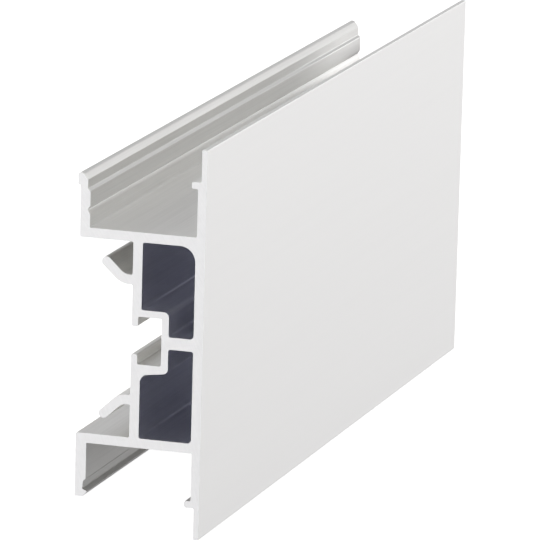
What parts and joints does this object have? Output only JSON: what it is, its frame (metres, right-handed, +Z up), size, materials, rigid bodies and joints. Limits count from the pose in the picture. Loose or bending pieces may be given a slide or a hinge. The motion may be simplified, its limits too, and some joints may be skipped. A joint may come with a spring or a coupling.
{
  "type": "aluminium extrusion profile",
  "caption": "Straight aluminium extrusion with a flat face plate on a chambered box, side channels, a hardware groove, curved hooks and edge ribs.",
  "frame": {"origin": "centre of the bounding box at floor level, under the middle of the bar", "axes": "+X across the face plate, +Y along the bar, +Z up out of the face plate"},
  "size_m": [0.08, 0.185, 0.027],
  "materials": {
    "satin_aluminium": "satin silver skin with fine lengthwise die lines, bright square-sawn ends"
  },
  "bodies": {
    "root": {"profile_bar": "satin_aluminium"}
  },
  "joints": []
}
